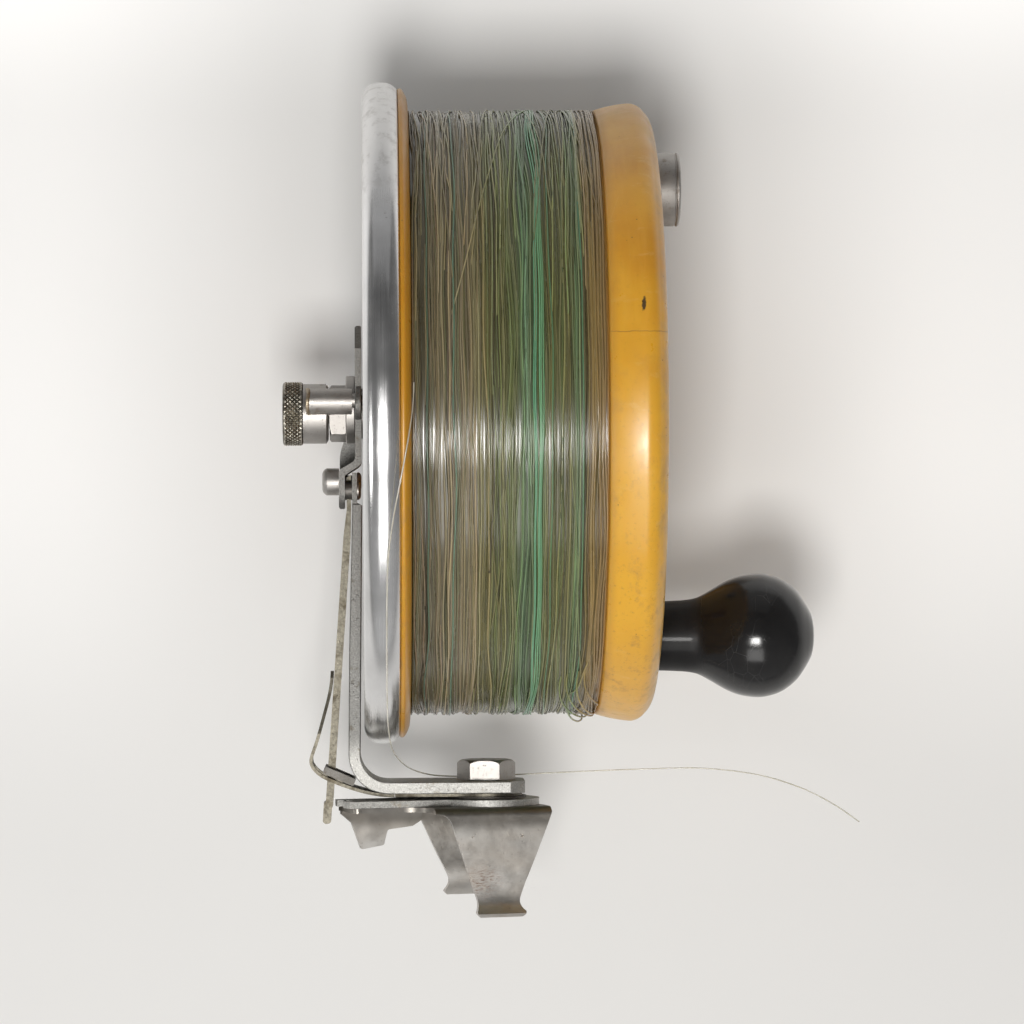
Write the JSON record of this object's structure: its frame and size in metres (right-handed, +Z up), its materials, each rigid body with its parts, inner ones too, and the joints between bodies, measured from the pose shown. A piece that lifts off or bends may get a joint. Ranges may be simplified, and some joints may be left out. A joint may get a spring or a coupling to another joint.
{
  "type": "sidecast fishing reel",
  "caption": "Side-cast fishing reel: wide amber spool of line, metal rim guard, ball handle, check knob, and a swivelling leg on a rod clip.",
  "frame": {"origin": "on the rod seat (the underside of the clip's base) at the swivel axis", "axes": "+X along the spindle towards the winding handle, +Z up away from the rod clip, +Y across the leg"},
  "size_m": [0.1334, 0.1656, 0.2082],
  "materials": {
    "guard_metal": "polished, worn",
    "amber_plastic": "waxy, aged",
    "fishing_line": "monofilament nylon",
    "black_plastic": "gloss",
    "nickel_plate": "satin, pitted",
    "knurl_metal": "darkened nickel on brass",
    "leg_steel": "plated, pitted",
    "clip_steel": "satin sheet, scratched",
    "spring_steel": "tarnished",
    "dark_steel": "dark",
    "bronze": "satin",
    "brass_screw": "satin"
  },
  "bodies": {
    "foot": {"rod_clip": "clip_steel", "lock_plate": "leg_steel", "pivot_bolt": "nickel_plate", "plate_rivets": "clip_steel", "swivel_washer": "dark_steel"},
    "frame": {"leg_bar": "leg_steel", "back_bracket": "leg_steel", "bracket_rivets": "nickel_plate", "bracket_spacers": "dark_steel", "latch_stud": "nickel_plate", "spindle": "nickel_plate", "spindle_nut": "nickel_plate", "spindle_washer": "nickel_plate", "front_washer": "nickel_plate", "front_nut": "nickel_plate", "check_retainer": "nickel_plate", "latch_spring_root": "spring_steel"},
    "spool": {"spool_moulding": "amber_plastic", "rim_guard": "guard_metal", "rim_screws": "brass_screw", "line_winding": "fishing_line", "spool_bushes": "bronze", "click_ring": "bronze", "counterweight": "guard_metal", "counterweight_stud": "nickel_plate", "handle_spindle": "nickel_plate", "handle_screw": "nickel_plate"},
    "handle": {"handle_knob": "black_plastic", "handle_cap": "black_plastic", "handle_bush": "bronze"},
    "check": {"check_head": "knurl_metal", "check_sleeve": "nickel_plate", "check_pin": "nickel_plate", "check_spring": "spring_steel"},
    "latch": {"latch_strip": "spring_steel"},
    "latch_leaf": {"latch_spring": "spring_steel", "spring_pads": "dark_steel"}
  },
  "joints": [
    {"name": "leg_swivel", "type": "hinge", "parent": "foot", "child": "frame", "pos_m": [0, 0, 0.00575], "axis": [0, 0, 1], "range_deg": [-75, 15]},
    {"name": "spool_spin", "type": "hinge", "parent": "frame", "child": "spool", "pos_m": [0.0066, 0, 0.09945], "axis": [1, 0, 0], "continuous": true},
    {"name": "handle_spin", "type": "hinge", "parent": "spool", "child": "handle", "pos_m": [0.0596, 0, 0.04315], "axis": [1, 0, 0], "continuous": true},
    {"name": "check_pull", "type": "slide", "parent": "frame", "child": "check", "axis": [-1, 0, 0], "range_m": [0, 0.0023]},
    {"name": "latch_swing", "type": "hinge", "parent": "frame", "child": "latch", "pos_m": [-0.0342, 0, 0.07945], "axis": [0, 1, 0], "range_deg": [0, 2.2]},
    {"name": "latch_leaf_flex", "type": "hinge", "parent": "frame", "child": "latch_leaf", "pos_m": [-0.023, 0, 0.0039], "axis": [0, 1, 0], "range_deg": [-4, 0]}
  ],
  "couplings": [
    {"joint": "latch_leaf_flex", "follows": "latch_swing", "ratio": -1.8}
  ]
}
